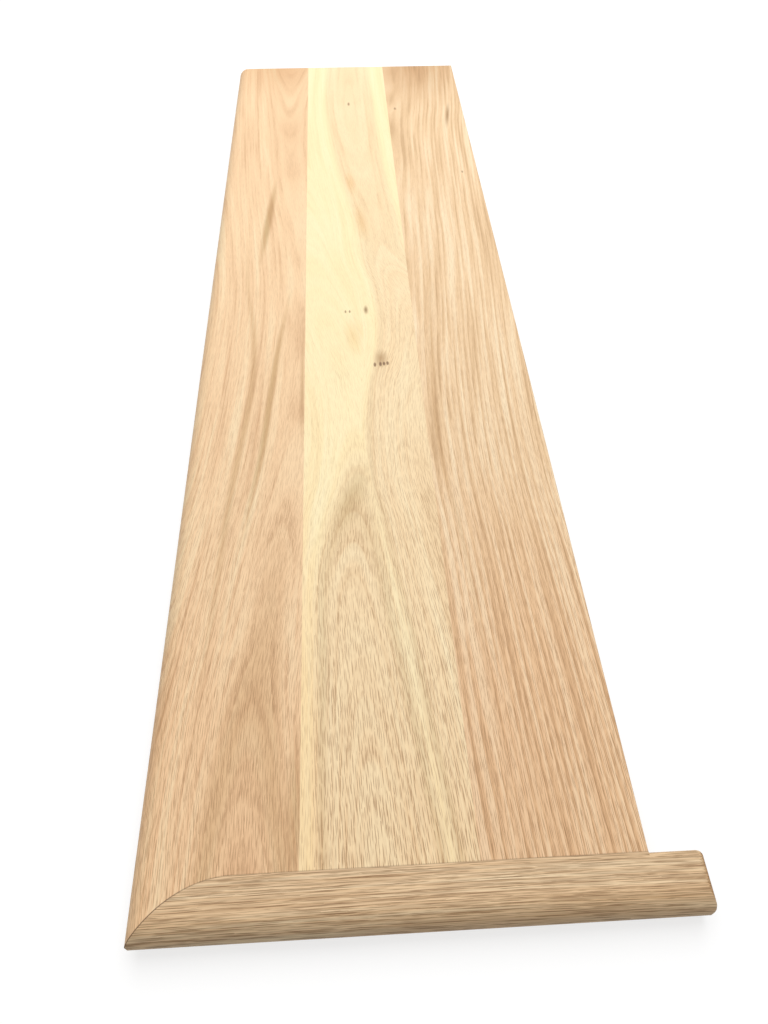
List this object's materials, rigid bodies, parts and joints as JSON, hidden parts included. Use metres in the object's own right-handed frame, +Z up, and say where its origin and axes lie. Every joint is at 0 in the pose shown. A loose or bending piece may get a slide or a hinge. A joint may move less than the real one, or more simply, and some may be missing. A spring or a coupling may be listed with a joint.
{
  "type": "stair tread",
  "caption": "Unfinished edge-glued oak stair tread with a half-round nose and a mitred return nosing on its right-hand end.",
  "frame": {"origin": "middle of the underside of the whole outline, with the return's projecting stub included", "axes": "+X along the tread towards the return nosing, +Y from the nose to the back edge, +Z up from the underside to the walking surface"},
  "size_m": [1.0668, 0.3238, 0.0254],
  "materials": {
    "front_stave_oak": "sanded, unfinished",
    "centre_stave_oak": "sanded, unfinished",
    "back_stave_oak": "sanded, unfinished",
    "return_nosing_oak": "sanded, unfinished"
  },
  "bodies": {
    "root": {"front_stave": "front_stave_oak", "centre_stave": "centre_stave_oak", "back_stave": "back_stave_oak", "return_nosing": "return_nosing_oak"}
  },
  "joints": []
}
